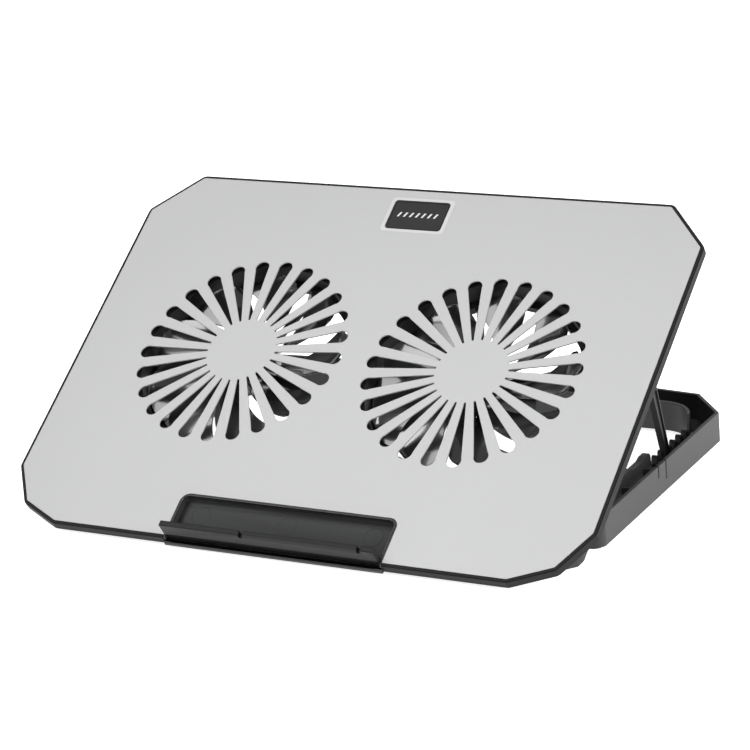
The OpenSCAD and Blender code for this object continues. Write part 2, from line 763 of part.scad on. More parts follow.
module rotor(side) color([0.12, 0.12, 0.14]) on_deck() at_fan(side) {
    difference() {
        translate([0, 0, cup_low]) cylinder(r = hub_r, h = cup_top - cup_low);
        translate([0, 0, cup_low - 1]) cylinder(r = hub_r - cup_t, h = cup_top - cup_t - cup_low + 1);
        translate([0, 0, cup_low]) cylinder(r = shaft_d / 2, h = cup_top - cup_low - 0.4);
    }
    difference() {
        translate([0, 0, cup_top - cup_t - 1]) cylinder(r = 3, h = 1 + eps);
        translate([0, 0, cup_low]) cylinder(r = shaft_d / 2, h = 20);
    }
    for (i = [0 : blades - 1]) rotate([0, 0, i * 360 / blades]) blade();
}
module rotor_left() rotor(-1);
module rotor_right() rotor(1);

// ---------- electronics ----------

board_screw_at = [[-ctrl_half + 4, ctrl_y + 4], [ctrl_half - 4, ctrl_y + 4]];

module control_board() color([0.1, 0.35, 0.2]) on_deck() difference() {
    union() {
        translate([-ctrl_half, ctrl_y, ctrl_z]) cube([2 * ctrl_half, ctrl_d, ctrl_board_t]);
        for (side = [-1, 1])
            translate([side * lead_plug[0] - 2.6, lead_plug[1], ctrl_z - 1.3])
                cube([5.2, 3 + eps, 1.3 + ctrl_board_t]);
        translate([-6, ctrl_y + 2, ctrl_z + ctrl_board_t]) cube([12, 8, 1.2]);
    }
    for (p = board_screw_at) translate([p[0], p[1], ctrl_z - 1]) cylinder(r = screw_r + 0.1, h = 5, $fn = 24);
}

module usb_port(x) color(steel) on_deck()
    translate([x - port_w / 2, tub_back - 0.3 - port_l, ctrl_z + ctrl_board_t]) difference() {
        cube([port_w, port_l, port_h]);
        difference() {
            translate([port_t, port_t + 2, port_t])
                cube([port_w - 2 * port_t, port_l, port_h - 2 * port_t]);
            translate([1.4, 0, port_h - 2.5]) cube([port_w - 2.8, port_l - 2, 1.8]);
        }
    }
module usb_port_left() usb_port(port_x[0]);
module usb_port_right() usb_port(port_x[1]);

dial_low = ctrl_z + ctrl_board_t + 2.2;
module dial_switch() color(plastic) on_deck() translate([dial_x, dial_y, ctrl_z + ctrl_board_t]) {
    translate([-3.2, -3.2, 0]) cube([6.4, 6.4, 1.9]);
    translate([0, 0, 1.9]) cylinder(r = 1.5, h = 5);
}

// Thumb wheel with a ribbed edge, turned with a finger where it stands out of the rear wall
module speed_dial() color([0.16, 0.16, 0.17]) on_deck() translate([dial_x, dial_y, dial_low]) difference() {
    cylinder(r = dial_r, h = dial_t);
    translate([0, 0, -1]) cylinder(r = 1.5 + run, h = dial_t + 2);
    for (a = [0 : 15 : 345]) rotate([0, 0, a]) translate([dial_r, 0, -1]) cylinder(r = 0.5, h = dial_t + 2, $fn = 24);
}

module power_led() color([0.3, 0.5, 0.9]) on_deck()
    translate([led_x, tub_back - 5.5, ctrl_z + ctrl_board_t + 2.5]) {
        rotate([-90, 0, 0]) cylinder(r = led_r, h = 5.2, $fn = 32);
        translate([-led_r, -1.5, -2.5]) cube([2 * led_r, 1.5, 4]);
    }

// Flat two-core lead from each motor board, along a groove in a spider arm, to the control board
lead_w = 2.4;
lead_t = 1.1;
lead_low = seat_z + 0.9;
lead_a = 110;
lead_plug = [ctrl_half - 10, ctrl_y - 3];
// A strip of even width along three points, mitred at the bend
function strip(p, q, r, w) =
    let (u = left_of(unit(q - p)), v = left_of(unit(r - q)), m = (u + v) / (1 + u * v))
    [p + w * u, q + w * m, r + w * v, r - w * v, q - w * m, p - w * u];

module wires(side) color([0.7, 0.1, 0.1]) on_deck() mirror([side < 0 ? 1 : 0, 0, 0]) {
    out = [cos(lead_a), sin(lead_a)];
    start = [fan_x, fan_y] + (motor_r - 4) * out;
    plate(
        strip(start, [fan_x, fan_y] + (shroud_r + 3) * out, lead_plug - [0, 0.9], lead_w / 2),
        lead_low, lead_low + lead_t
    );
    // soldered end under the motor board
    translate([start[0] + 1.6 * out[0], start[1] + 1.6 * out[1], lead_low + eps])
        cylinder(r = 0.7, h = board_low - lead_low - eps, $fn = 24);
}
module wires_left() wires(-1);
module wires_right() wires(1);

// ---------- fasteners ----------

module case_screws() color(steel) on_deck()
    for (p = case_screw_at) translate([p[0], p[1], -rim_h + screw_head_h]) screw(2.8);

module fan_screws() color(steel) on_deck()
    for (p = fan_screw_at) translate([p[0], p[1], -tub_depth + screw_head_h]) screw(5);

module board_screws() color(steel) on_deck()
    for (p = board_screw_at) translate([p[0], p[1], ctrl_z + ctrl_board_t]) mirror([0, 0, 1]) screw(4.6);

module leg_pins() color(steel) on_deck() both_sides()
    bar(pivot, leg_x - leg_t / 2 - gap - lug_t, leg_x + leg_t / 2 + gap + lug_t, leg_pin_d / 2);

// ---------- moving parts ----------

// The flap's hinge pin runs through it; its ends turn in the tray
module stop_flap() color([0.13, 0.13, 0.14]) on_deck() difference() {
    union() {
        across([
            [flap_face, flap_h - 0.4], [flap_face + 0.4, flap_h], [flap_face + flap_t - 0.4, flap_h],
            [flap_face + flap_t, flap_h - 0.4], [flap_face + flap_t, flap_h - 3],
            [flap_face + flap_t - 0.7, flap_h - 4.5], [flap_pin[0] + 1.2, flap_pin[1] + 1],
            [flap_pin[0] - 1.2, flap_pin[1] - 1], [flap_face + 0.5, 1.2], [flap_face, 2.2]
        ], -flap_half, flap_half);
        bar(flap_pin, -flap_half, flap_half, knuckle);
    }
    bar(flap_pin, -flap_half - 1, flap_half + 1, flap_pin_d / 2 + run);
    // two notches in the free edge, with a finger bevel between them
    for (x = flap_notch)
        translate([x - notch_w / 2, flap_face - 1, flap_h - 2.6]) cube([notch_w, flap_t + 2, 4]);
    across([
        [flap_face - 1, flap_h - 2.2], [flap_face - eps, flap_h - 2.2], [flap_face + 0.9, flap_h + eps],
        [flap_face - 1, flap_h + 1]
    ], flap_notch[0], flap_notch[1]);
}
notch_w = 2.4;
flap_notch = [-15, 57];

module leg(side) color([0.11, 0.11, 0.12]) on_deck()
    mirror([side < 0 ? 1 : 0, 0, 0])
    translate([0, pivot[0], pivot[1]])
    rotate([leg_back, 0, 0])
    difference() {
        union() {
            bar([0, 0], leg_x - leg_t / 2, leg_x + leg_t / 2, leg_front);
            bar([0, -leg_l], leg_x - leg_t / 2, leg_x + leg_t / 2, toe_r);
            across([
                [-leg_front, 0], [-leg_w_toe / 2, -leg_l], [leg_w_toe / 2, -leg_l],
                [leg_rear, -7], [leg_rear - 1, -2], [leg_front, 1]
            ], leg_x - leg_t / 2, leg_x + leg_t / 2);
        }
        bar([0, 0], leg_x - leg_t, leg_x + leg_t, leg_pin_d / 2 + run);
        // shallow web between the flanges on both faces
        for (x = [leg_x - leg_t / 2 - 1, leg_x + leg_t / 2 - 0.9])
            across([
                [-leg_front + 1.4, -7], [-leg_w_toe / 2 + 1.1, -leg_l + 5],
                [leg_w_toe / 2 - 1.1, -leg_l + 5], [leg_rear - 1.4, -10], [leg_rear - 2.2, -7]
            ], x, x + 1.9);
    }
module leg_left() leg(-1);
module leg_right() leg(1);

// ---------- build ----------

base_frame();
rubber_feet();
hinge_pins();
top_frame();
metal_panel();
badge();
stop_tray();
flap_pin();
bottom_shell();
deck_feet();
fan_housing_left();
fan_housing_right();
motor_board_left();
motor_board_right();
stator_left();
stator_right();
bearing_left();
bearing_right();
control_board();
usb_port_left();
usb_port_right();
dial_switch();
power_led();
wires_left();
wires_right();
case_screws();
fan_screws();
board_screws();
leg_pins();
stop_flap();
leg_left();
leg_right();
rotor_left();
rotor_right();
magnet_left();
magnet_right();
shaft_left();
shaft_right();
speed_dial();
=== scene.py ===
import json
import math

import bmesh
import bpy
from mathutils import Matrix, Vector


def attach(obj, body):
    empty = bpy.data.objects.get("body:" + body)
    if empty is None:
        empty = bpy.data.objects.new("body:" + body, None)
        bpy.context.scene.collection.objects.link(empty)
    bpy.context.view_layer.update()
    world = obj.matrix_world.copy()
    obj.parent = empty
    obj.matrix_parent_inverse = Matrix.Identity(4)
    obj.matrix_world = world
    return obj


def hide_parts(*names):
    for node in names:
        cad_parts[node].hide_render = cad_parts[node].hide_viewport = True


MM = 0.001

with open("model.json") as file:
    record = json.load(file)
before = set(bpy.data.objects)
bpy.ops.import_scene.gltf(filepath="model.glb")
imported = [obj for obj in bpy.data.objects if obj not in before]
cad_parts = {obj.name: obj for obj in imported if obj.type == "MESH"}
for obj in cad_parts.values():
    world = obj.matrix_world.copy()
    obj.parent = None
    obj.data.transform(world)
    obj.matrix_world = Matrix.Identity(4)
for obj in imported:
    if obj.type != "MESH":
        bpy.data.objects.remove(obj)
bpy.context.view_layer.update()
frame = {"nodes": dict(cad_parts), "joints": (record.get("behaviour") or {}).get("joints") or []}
joints = {j["name"]: j for j in frame["joints"]}

# ---------------------------------------------------------------- places

# Deck coordinates in millimetres, as in the part's source: x right, y back from the
# panel's front edge, z up from the panel's face.
TILT = math.radians(-joints["deck_tilt"]["range_deg"][0])
HINGE_Y = 26.8
HINGE_Z = -14.3
hinge_at = Vector(joints["deck_tilt"]["pos_m"])
to_deck = (Matrix.Translation(hinge_at) @ Matrix.Rotation(TILT, 4, "X")
           @ Matrix.Scale(MM, 4) @ Matrix.Translation((0, -HINGE_Y, -HINGE_Z)))
from_deck = to_deck.inverted()


def spread(node):
    """Lowest and highest corner of a CAD node, in deck coordinates."""
    points = [from_deck @ v.co for v in frame["nodes"][node].data.vertices]
    low = [min(p[i] for p in points) for i in range(3)]
    high = [max(p[i] for p in points) for i in range(3)]
    return low, high


def middle_of(low, high):
    """The point halfway across and halfway back between two corners."""
    return (low[0] + high[0]) / 2, (low[1] + high[1]) / 2


# ---------------------------------------------------------------- camera

def aim_camera(target, azimuth, elevation, roll, distance, lens):
    """A long lens looking at target from azimuth degrees right of the front."""
    a, e = math.radians(azimuth), math.radians(elevation)
    ahead = Vector((-math.sin(a) * math.cos(e), math.cos(a) * math.cos(e), -math.sin(e)))
    data = bpy.data.cameras.new("camera")
    data.sensor_width = 36
    data.lens = lens
    data.clip_start = 0.05
    data.clip_end = 30
    cam = bpy.data.objects.new("camera", data)
    turn = ahead.to_track_quat("-Z", "Y").to_matrix().to_4x4()
    cam.matrix_world = (Matrix.Translation(Vector(target) - ahead * distance) @ turn
                        @ Matrix.Rotation(math.radians(roll), 4, "Z"))
    bpy.context.scene.collection.objects.link(cam)
    bpy.context.scene.camera = cam


aim_camera(target=hinge_at + Vector((0.0473, 0.0149, 0.0840)), azimuth=29.6, elevation=18.8, roll=-4.87,
           distance=1.52, lens=137.76)

# ---------------------------------------------------------------- materials

class Shade:
    """A value inside a material. Arithmetic on it adds the nodes that do the sum."""

    def __init__(self, recipe, socket):
        self.recipe = recipe
        self.socket = socket

    def sum(self, operation, a, b=None):
        values = {0: a} if b is None else {0: a, 1: b}
        return self.recipe.add("ShaderNodeMath", {"operation": operation}, values)

    def __add__(self, other):
        return self.sum("ADD", self, other)

    def __radd__(self, other):
        return self.sum("ADD", other, self)

    def __sub__(self, other):
        return self.sum("SUBTRACT", self, other)

    def __rsub__(self, other):
        return self.sum("SUBTRACT", other, self)

    def __mul__(self, other):
        return self.sum("MULTIPLY", self, other)

    def __rmul__(self, other):
        return self.sum("MULTIPLY", other, self)

    def clear(self):
        return self.recipe.add("ShaderNodeClamp", {}, {"Value": self})


class Recipe:
    """One material: a principled surface and the nodes that vary it."""

    def __init__(self, name, **constants):
        self.mat = bpy.data.materials.new(name)
        self.mat.use_nodes = True
        self.tree = self.mat.node_tree
        self.skin = self.tree.nodes["Principled BSDF"]
        for key, value in constants.items():
            self.skin.inputs[key.replace("_", " ")].default_value = value

    def add(self, kind, settings=None, values=None, out=0):
        node = self.tree.nodes.new(kind)
        for key, value in (settings or {}).items():
            setattr(node, key, value)
        for key, value in (values or {}).items():
            self.link(node.inputs[key], value)
        return Shade(self, node.outputs[out])

    def link(self, socket, value):
        if isinstance(value, Shade):
            self.tree.links.new(value.socket, socket)
        else:
            socket.default_value = value

    def vary(self, **sockets):
        for key, value in sockets.items():
            self.link(self.skin.inputs[key.replace("_", " ")], value)
        return self

    def place(self):
        return self.add("ShaderNodeTexCoord", out="Object")

    def noise(self, scale, detail=3.0, at=None):
        return self.add("ShaderNodeTexNoise", {}, {
            "Vector": at or self.place(), "Scale": scale, "Detail": detail})

    def grains(self, scale):
        return self.add("ShaderNodeTexVoronoi", {}, {"Vector": self.place(), "Scale": scale})

    def blend(self, share, a, b):
        """Mix two colours; a Mix node keeps its colour sockets at these places."""
        return self.add("ShaderNodeMix", {"data_type": "RGBA"}, {0: share, 6: a, 7: b}, out=2)

    def relief(self, height, strength, distance):
        return self.add("ShaderNodeBump", {}, {
            "Height": height, "Strength": strength, "Distance": distance})

    def edge_highlight_mask(self):
        """Near 1 along sharp convex edges, and 0 elsewhere: where a painted highlight goes."""
        bend = self.add("ShaderNodeNewGeometry", out="Pointiness")
        return ((bend - 0.51) * 9).clear()

    def stretch(self, x, y, z):
        return self.add("ShaderNodeMapping", {}, {
            "Vector": self.place(), "Scale": (x, y, z)})


def grey(v, tint=0.0):
    return (v * (1 - tint), v, v * (1 + tint), 1)


def silver_paint(name="silver_satin_paint", lift=1.0):
    """Satin silver over a pressed metal sheet: a fine metallic fleck and a faint orange peel."""
    m = Recipe(name, Metallic=0.55, Specular_IOR_Level=0.5)
    fleck = m.grains(5200)
    cloud = m.noise(9, detail=2)
    peel = m.noise(900, detail=2)
    tone = m.blend(cloud, grey(0.36 * lift, 0.004), grey(0.40 * lift, 0.004))
    m.vary(Base_Color=m.blend((fleck * 0.55).clear(), tone, grey(0.45 * lift)),
           Roughness=0.40 + cloud * 0.06 + fleck * 0.05,
           Normal=m.relief(peel * 0.7 + fleck * 0.3, 0.10, 0.0001))
    return m.mat


def moulded(name, tone, rough, grain=2600, depth=0.16, edge_highlight=0.5, sheen=0.3):
    """Black injection-moulded plastic with a spark-eroded grain, and a painted highlight that greys its
    sharp convex edges.
    """
    m = Recipe(name, IOR=1.47, Specular_IOR_Level=sheen)
    cells = m.grains(grain)
    cloud = m.noise(22, detail=4)
    dust = m.noise(420, detail=3)
    edge = m.edge_highlight_mask()
    base = m.blend(cloud, grey(tone * 0.85, 0.02), grey(tone * 1.15, 0.02))
    # painted highlight: the colour turns lighter grey along sharp convex edges
    base = m.blend((edge * edge_highlight).clear(), base, grey(tone * 2.2 + 0.012, 0.01))
    m.vary(Base_Color=base,
           Roughness=(rough - 0.06 + cloud * 0.10 + dust * 0.04).clear(),
           Normal=m.relief(cells * 0.6 + dust * 0.4, depth, 0.00012))
    return m.mat


def blade_gloss():
    """Polished black fan plastic with a little dust on it."""
    m = Recipe("fan_blade_gloss", IOR=1.8, Coat_Weight=1.0, Coat_Roughness=0.04)
    cloud = m.noise(30, detail=3)
    waves = m.noise(60, detail=1)
    m.vary(Base_Color=m.blend(cloud, grey(0.010), grey(0.020)),
           Roughness=0.12 + cloud * 0.10,
           Normal=m.relief(waves, 0.05, 0.0006))
    return m.mat


def rubber():
    """Matt black rubber with dust on it."""
    m = Recipe("foot_rubber", IOR=1.45)
    skin = m.noise(900, detail=4)
    dust = m.noise(60, detail=4)
    m.vary(Base_Color=m.blend(dust, grey(0.018), grey(0.040)),
           Roughness=0.72 + skin * 0.15,
           Normal=m.relief(skin, 0.3, 0.0002))
    return m.mat


def bright_steel(name, tone=0.62, rough=0.28, scale=(40, 40, 900)):
    """Plated steel with fine drawn lines."""
    m = Recipe(name, Metallic=1.0)
    lines = m.noise(8, detail=4, at=m.stretch(*scale))
    m.vary(Base_Color=m.blend(lines, grey(tone * 0.85), grey(tone)),
           Roughness=rough + lines * 0.14,
           Normal=m.relief(lines, 0.08, 0.0001))
    return m.mat


def circuit_board():
    """Green solder mask over copper tracks."""
    m = Recipe("green_circuit_board", IOR=1.5, Coat_Weight=0.4)
    tracks = m.add("ShaderNodeTexBrick", {"offset": 0.35}, {
        "Vector": m.stretch(1, 1, 0.01), "Scale": 260.0, "Mortar Size": 0.02,
        "Color1": grey(0.0), "Color2": grey(0.35), "Mortar": grey(1.0)})
    pads = m.grains(700)
    m.vary(Base_Color=m.blend(tracks, (0.010, 0.060, 0.025, 1), (0.030, 0.16, 0.06, 1)),
           Roughness=0.25 + pads * 0.1,
           Normal=m.relief(tracks, 0.2, 0.0001))
    return m.mat


def windings():
    """Enamelled copper wire wound side by side, with painted shade darkening the grooves between turns."""
    m = Recipe("copper_windings", Metallic=0.9)
    turns = m.add("ShaderNodeTexWave", {"bands_direction": "Z"}, {
        "Vector": m.place(), "Scale": 420.0, "Distortion": 1.0})
    # painted shade: the colour darkens to deep brown where the bump dips between turns
    m.vary(Base_Color=m.blend(turns, (0.22, 0.07, 0.02, 1), (0.75, 0.33, 0.12, 1)),
           Roughness=0.3 + turns * 0.1,
           Normal=m.relief(turns, 0.6, 0.0002))
    return m.mat


def oiled_bronze():
    """Porous sintered bronze."""
    m = Recipe("sintered_bronze", Metallic=1.0)
    pores = m.grains(1800)
    m.vary(Base_Color=m.blend(pores, (0.30, 0.19, 0.07, 1), (0.62, 0.44, 0.2, 1)),
           Roughness=0.35 + pores * 0.2, Normal=m.relief(pores, 0.2, 0.0001))
    return m.mat


def ferrite():
    """Dark grey bonded magnet."""
    m = Recipe("bonded_ferrite", IOR=1.6)
    grain = m.noise(1500, detail=4)
    m.vary(Base_Color=m.blend(grain, grey(0.03), grey(0.07)), Roughness=0.6 + grain * 0.15,
           Normal=m.relief(grain, 0.2, 0.0001))
    return m.mat


def light_pipe():
    """Frosted, slightly blue clear plastic."""
    m = Recipe("frosted_light_pipe", IOR=1.49, Transmission_Weight=0.55)
    frost = m.noise(700, detail=3)
    m.vary(Base_Color=m.blend(frost, (0.50, 0.66, 0.82, 1), (0.75, 0.86, 0.95, 1)),
           Roughness=0.3 + frost * 0.2, Normal=m.relief(frost, 0.1, 0.0001))
    return m.mat


def lead_cover():
    """Soft black insulation."""
    m = Recipe("black_lead", IOR=1.47)
    cloud = m.noise(160, detail=3)
    m.vary(Base_Color=m.blend(cloud, grey(0.010), grey(0.016)), Roughness=0.42 + cloud * 0.1,
           Normal=m.relief(cloud, 0.1, 0.0001))
    return m.mat


def white_print():
    """Screen-printed pale ink."""
    m = Recipe("pale_ink", IOR=1.45)
    ink = m.noise(900, detail=3)
    m.vary(Base_Color=m.blend(ink, grey(0.55), grey(0.72)), Roughness=0.45 + ink * 0.1,
           Normal=m.relief(ink, 0.1, 0.00005))
    return m.mat


def badge_face():
    """Smooth black lacquer."""
    m = Recipe("badge_black_lacquer", IOR=1.5, Specular_IOR_Level=0.18)
    cloud = m.noise(40, detail=3)
    m.vary(Base_Color=m.blend(cloud, grey(0.008), grey(0.013)), Roughness=0.28 + cloud * 0.08,
           Normal=m.relief(m.noise(700), 0.05, 0.0001))
    return m.mat


def pale_floor():
    """A pale sweep that stays bright out to the horizon."""
    m = Recipe("pale_floor", IOR=1.3, Emission_Strength=0.85)
    cloud = m.noise(3, detail=2)
    m.vary(Base_Color=m.blend(cloud, grey(0.93), grey(0.95)), Roughness=0.8 + cloud * 0.05,
           Emission_Color=m.blend(cloud, grey(0.98), grey(1.0)))
    return m.mat


panel_silver = silver_paint()
rim_black = moulded("rim_black", 0.009, 0.50, edge_highlight=0.2, sheen=0.15)
shell_black = moulded("shell_black", 0.020, 0.50, edge_highlight=0.3)
base_black = moulded("base_black", 0.021, 0.46, grain=2200, depth=0.2, edge_highlight=0.3, sheen=0.5)
tray_black = moulded("tray_black", 0.030, 0.48, edge_highlight=0.2)
flap_black = moulded("flap_black", 0.008, 0.42, edge_highlight=0.25, sheen=0.2)
leg_black = moulded("leg_black", 0.006, 0.38, edge_highlight=0.3, sheen=0.3)
fan_gloss = blade_gloss()
duct_black = moulded("duct_black", 0.008, 0.55, edge_highlight=0.1)
soft_rubber = rubber()
plated = bright_steel("plated_steel")
socket_steel = bright_steel("socket_steel", 0.55, 0.22, (200, 200, 30))
green_board = circuit_board()
copper = windings()
bronze = oiled_bronze()
magnet_grey = ferrite()
pipe = light_pipe()
black_lead = lead_cover()
tray_gloss = moulded("tray_edge_gloss", 0.012, 0.22, depth=0.05, edge_highlight=0.1, sheen=0.5)
chip_black = moulded("chip_epoxy", 0.012, 0.35, grain=4000, edge_highlight=0.1)
gold = bright_steel("gold_contacts", 0.6, 0.25)
can_silver = bright_steel("capacitor_can", 0.6, 0.3)
ink = white_print()
lacquer = badge_face()
frame_silver = silver_paint("frame_silver_paint", 1.22)

NODE_FINISH = {
    "metal_panel": panel_silver, "top_frame": rim_black, "badge": lacquer, "stop_tray": tray_black,
    "stop_flap": flap_black, "flap_pin": plated, "bottom_shell": shell_black, "deck_feet": soft_rubber,
    "base_frame": base_black, "rubber_feet": soft_rubber, "hinge_pins": plated,
    "control_board": green_board, "dial_switch": shell_black, "power_led": pipe, "case_screws": plated,
    "fan_screws": plated, "board_screws": plated, "leg_pins": plated, "speed_dial": leg_black,
}
PAIR_FINISH = {
    "fan_housing": duct_black, "motor_board": green_board, "stator": copper, "bearing": bronze,
    "usb_port": socket_steel, "wires": black_lead, "leg": leg_black, "rotor": fan_gloss,
    "magnet": magnet_grey, "shaft": plated,
}
for pair, finish in PAIR_FINISH.items():
    NODE_FINISH[pair + "_left"] = finish
    NODE_FINISH[pair + "_right"] = finish
for name, finish in NODE_FINISH.items():
    mesh = frame["nodes"][name].data
    mesh.materials.clear()
    mesh.materials.append(finish)

# ---------------------------------------------------------------- making pieces

def piece(name, bm, body, finish, smooth=True):
    """Turn a finished bmesh into an object that rides on a body of the pad."""
    mesh = bpy.data.meshes.new(name)
    bmesh.ops.recalc_face_normals(bm, faces=bm.faces)
    bm.to_mesh(mesh)
    bm.free()
    mesh.materials.append(finish)
    for face in mesh.polygons:
        face.use_smooth = smooth
    if smooth:
        mesh.set_sharp_from_angle(angle=math.radians(32))
    made = bpy.data.objects.new(name, mesh)
    bpy.context.scene.collection.objects.link(made)
    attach(made, body)
    return made


def soften(made, width, steps=2, angle=28):
    """Round the outer hard edges the way a mould does, and keep the flats flat."""
    bm = bmesh.new()
    bm.from_mesh(made.data)
    weight = bm.edges.layers.float.new("bevel_weight_edge")
    for edge in bm.edges:
        if len(edge.link_faces) == 2 and edge.calc_face_angle_signed() > math.radians(angle):
            edge[weight] = 1.0
    bm.to_mesh(made.data)
    bm.free()
    bevel = made.modifiers.new("rounded_edges", "BEVEL")
    bevel.width = width * MM
    bevel.segments = steps
    bevel.limit_method = "WEIGHT"
    bevel.use_clamp_overlap = False
    bevel.harden_normals = True
    return made


def softened(node, body, finish, width):
    """A moulded copy of a CAD node with rounded edges, standing in for it."""
    bm = bmesh.new()
    bm.from_mesh(frame["nodes"][node].data)
    bmesh.ops.remove_doubles(bm, verts=bm.verts, dist=0.02 * MM)
    bmesh.ops.dissolve_limit(bm, angle_limit=math.radians(0.6), verts=bm.verts, edges=bm.edges)
    made = soften(piece(node + "_moulded", bm, body, finish), width)
    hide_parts(node)
    return made


def thick_sheet(rows, thickness):
    """A closed sheet whose top follows rows of points; its underside is thickness lower."""
    bm = bmesh.new()
    top = [[bm.verts.new(p) for p in row] for row in rows]
    low = [[bm.verts.new(Vector(p) - Vector((0, 0, thickness))) for p in row] for row in rows]
    for layer in (top, low):
        for a, b in zip(layer, layer[1:]):
            for i in range(len(a) - 1):
                bm.faces.new((a[i], a[i + 1], b[i + 1], b[i]))
    rim, under = border(top), border(low)
    for i in range(len(rim)):
        j = (i + 1) % len(rim)
        bm.faces.new((rim[i], rim[j], under[j], under[i]))
    return bm


def border(rows):
    """The outer points of a grid, in order round it."""
    return rows[0] + [row[-1] for row in rows[1:]] + rows[-1][-2::-1] + [row[0] for row in rows[-2:0:-1]]


def lathe(profile, sides=96):
    """Turn a closed profile of (radius, height) about the Z axis."""
    bm = bmesh.new()
    rings = []
    for k in range(sides):
        a = 2 * math.pi * k / sides
        rings.append([bm.verts.new((r * math.cos(a), r * math.sin(a), z)) for r, z in profile])
    count = len(profile)
    for k in range(sides):
        here, there = rings[k], rings[(k + 1) % sides]
        for i in range(count):
            j = (i + 1) % count
            bm.faces.new((here[i], there[i], there[j], here[j]))
    bmesh.ops.remove_doubles(bm, verts=bm.verts, dist=1e-4)
    return bm


def slab(outline, low, high):
    """A flat plate from an outline, between two heights."""
    bm = bmesh.new()
    under = [bm.verts.new((x, y, low)) for x, y in outline]
    over = [bm.verts.new((x, y, high)) for x, y in outline]
    bm.faces.new(under)
    bm.faces.new(over)
    for i in range(len(outline)):
        j = (i + 1) % len(outline)
        bm.faces.new((under[i], under[j], over[j], over[i]))
    return bm


def arc(x, y, radius, start, end, steps=6):
    """Points round a centre from one angle to another, in degrees."""
    turns = [math.radians(start + (end - start) * k / steps) for k in range(steps + 1)]
    return [(x + radius * math.cos(a), y + radius * math.sin(a)) for a in turns]


def rounded_box(width, depth, radius, steps=6):
    """Outline of a rectangle with round corners, centred on the origin."""
    x, y = width / 2 - radius, depth / 2 - radius
    return (arc(x, y, radius, 0, 90, steps) + arc(-x, y, radius, 90, 180, steps)
            + arc(-x, -y, radius, 180, 270, steps) + arc(x, -y, radius, 270, 360, steps))


def hoop(outer, inner, low, high):
    """A flat ring between two outlines with the same number of points."""
    bm = bmesh.new()
    loops = [[bm.verts.new((x, y, z)) for x, y in line]
             for line, z in ((outer, low), (outer, high), (inner, high), (inner, low))]
    count = len(outer)
    for a, b in zip(loops, loops[1:] + loops[:1]):
        for i in range(count):
            j = (i + 1) % count
            bm.faces.new((a[i], a[j], b[j], b[i]))
    return bm


def shift(bm, x=0, y=0, z=0):
    bmesh.ops.translate(bm, verts=bm.verts, vec=(x, y, z))
    return bm


def gather(parts):
    """Join several bmeshes into the first one."""
    whole = parts[0]
    for part in parts[1:]:
        spare = bpy.data.meshes.new("spare")
        part.to_mesh(spare)
        part.free()
        whole.from_mesh(spare)
        bpy.data.meshes.remove(spare)
    return whole


def on(matrix, bm):
    bmesh.ops.transform(bm, matrix=matrix, verts=bm.verts)
    return bm


# ---------------------------------------------------------------- mouldings

softened("base_frame", "base", base_black, 0.35)
softened("top_frame", "deck", rim_black, 0.2)
softened("bottom_shell", "deck", shell_black, 0.3)
softened("stop_tray", "deck", tray_black, 0.3)
softened("stop_flap", "flap", flap_black, 0.3)
softened("leg_left", "leg_left_body", leg_black, 0.4)
softened("leg_right", "leg_right_body", leg_black, 0.4)
softened("badge", "deck", lacquer, 0.2)

# ---------------------------------------------------------------- fans

BLADES = 9
BLADE_ROOT_R = 19.2
BLADE_TIP_R = 60.4
BLADE_MIDDLE_Z = -10.0
BLADE_THICKNESS = 1.1
BLADE_CUP = 2.0
ROUND_TIP = 0.20            # share of the blade's length that its round tip takes
ROWS_ALONG = 18
STEPS_ACROSS = 14
HUB_R = 20.0
HUB_BORE = 18.4
HUB_LOW = -14.6
SHAFT_BORE = 1.7
DISH_R = 11.0               # the shallow round dish in the hub's cap


def petal():
    """One broad curved blade: it leans back towards its tip, cups the air and has a round tip."""
    rows = []
    for i in range(ROWS_ALONG + 1):
        u = i / ROWS_ALONG
        r = BLADE_ROOT_R + (BLADE_TIP_R - BLADE_ROOT_R) * u
        lean = math.radians(-8 + 26 * u ** 1.2)
        tip = max(0.0, (u - (1 - ROUND_TIP)) / ROUND_TIP)
        chord = math.radians(29 + 7 * u) * math.sqrt(max(0.05, 1 - 0.8 * tip ** 3))
        row = []
        for k in range(STEPS_ACROSS + 1):
            w = 2 * k / STEPS_ACROSS - 1
            a = lean + chord * w / 2
            pitch = -(4.4 - 0.9 * u) * w
            cup = BLADE_CUP * (1 - w * w) * (1 - 0.3 * u)
            row.append((r * math.cos(a), r * math.sin(a), BLADE_MIDDLE_Z + pitch - cup + 0.5 * u))
        rows.append(row)
    return thick_sheet(rows, BLADE_THICKNESS)


def hub(top):
    """The motor's cup: a round-shouldered cap with a shallow dish, hollow for the magnet."""
    return lathe([
        (HUB_BORE, HUB_LOW), (HUB_R - 0.2, HUB_LOW), (HUB_R, HUB_LOW + 0.3),
        (HUB_R, top - 1.8), (HUB_R - 0.5, top - 0.7), (HUB_R - 1.8, top - 0.1),
        (DISH_R, top), (DISH_R - 0.4, top - 0.35), (DISH_R - 1.0, top - 0.4),
        (SHAFT_BORE, top - 0.4), (SHAFT_BORE, top - 1.6),
        (HUB_BORE - 0.4, top - 1.7), (HUB_BORE, top - 2.2)])


def fan(side):
    low, high = spread("rotor_" + side)
    middle = middle_of(low, high)
    parts = [hub(high[2] - 0.1)]
    for k in range(BLADES):
        blade = petal()
        bmesh.ops.rotate(blade, verts=blade.verts, cent=(0, 0, 0),
                         matrix=Matrix.Rotation(2 * math.pi * k / BLADES, 3, "Z"))
        parts.append(blade)
    made = piece("fan_" + side, on(to_deck, shift(gather(parts), *middle)),
                 "fan_" + side + "_body", fan_gloss)
    soften(made, 0.3, 2, 50)
    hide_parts("rotor_" + side)


fan("left")
fan("right")

# ---------------------------------------------------------------- badge and tray

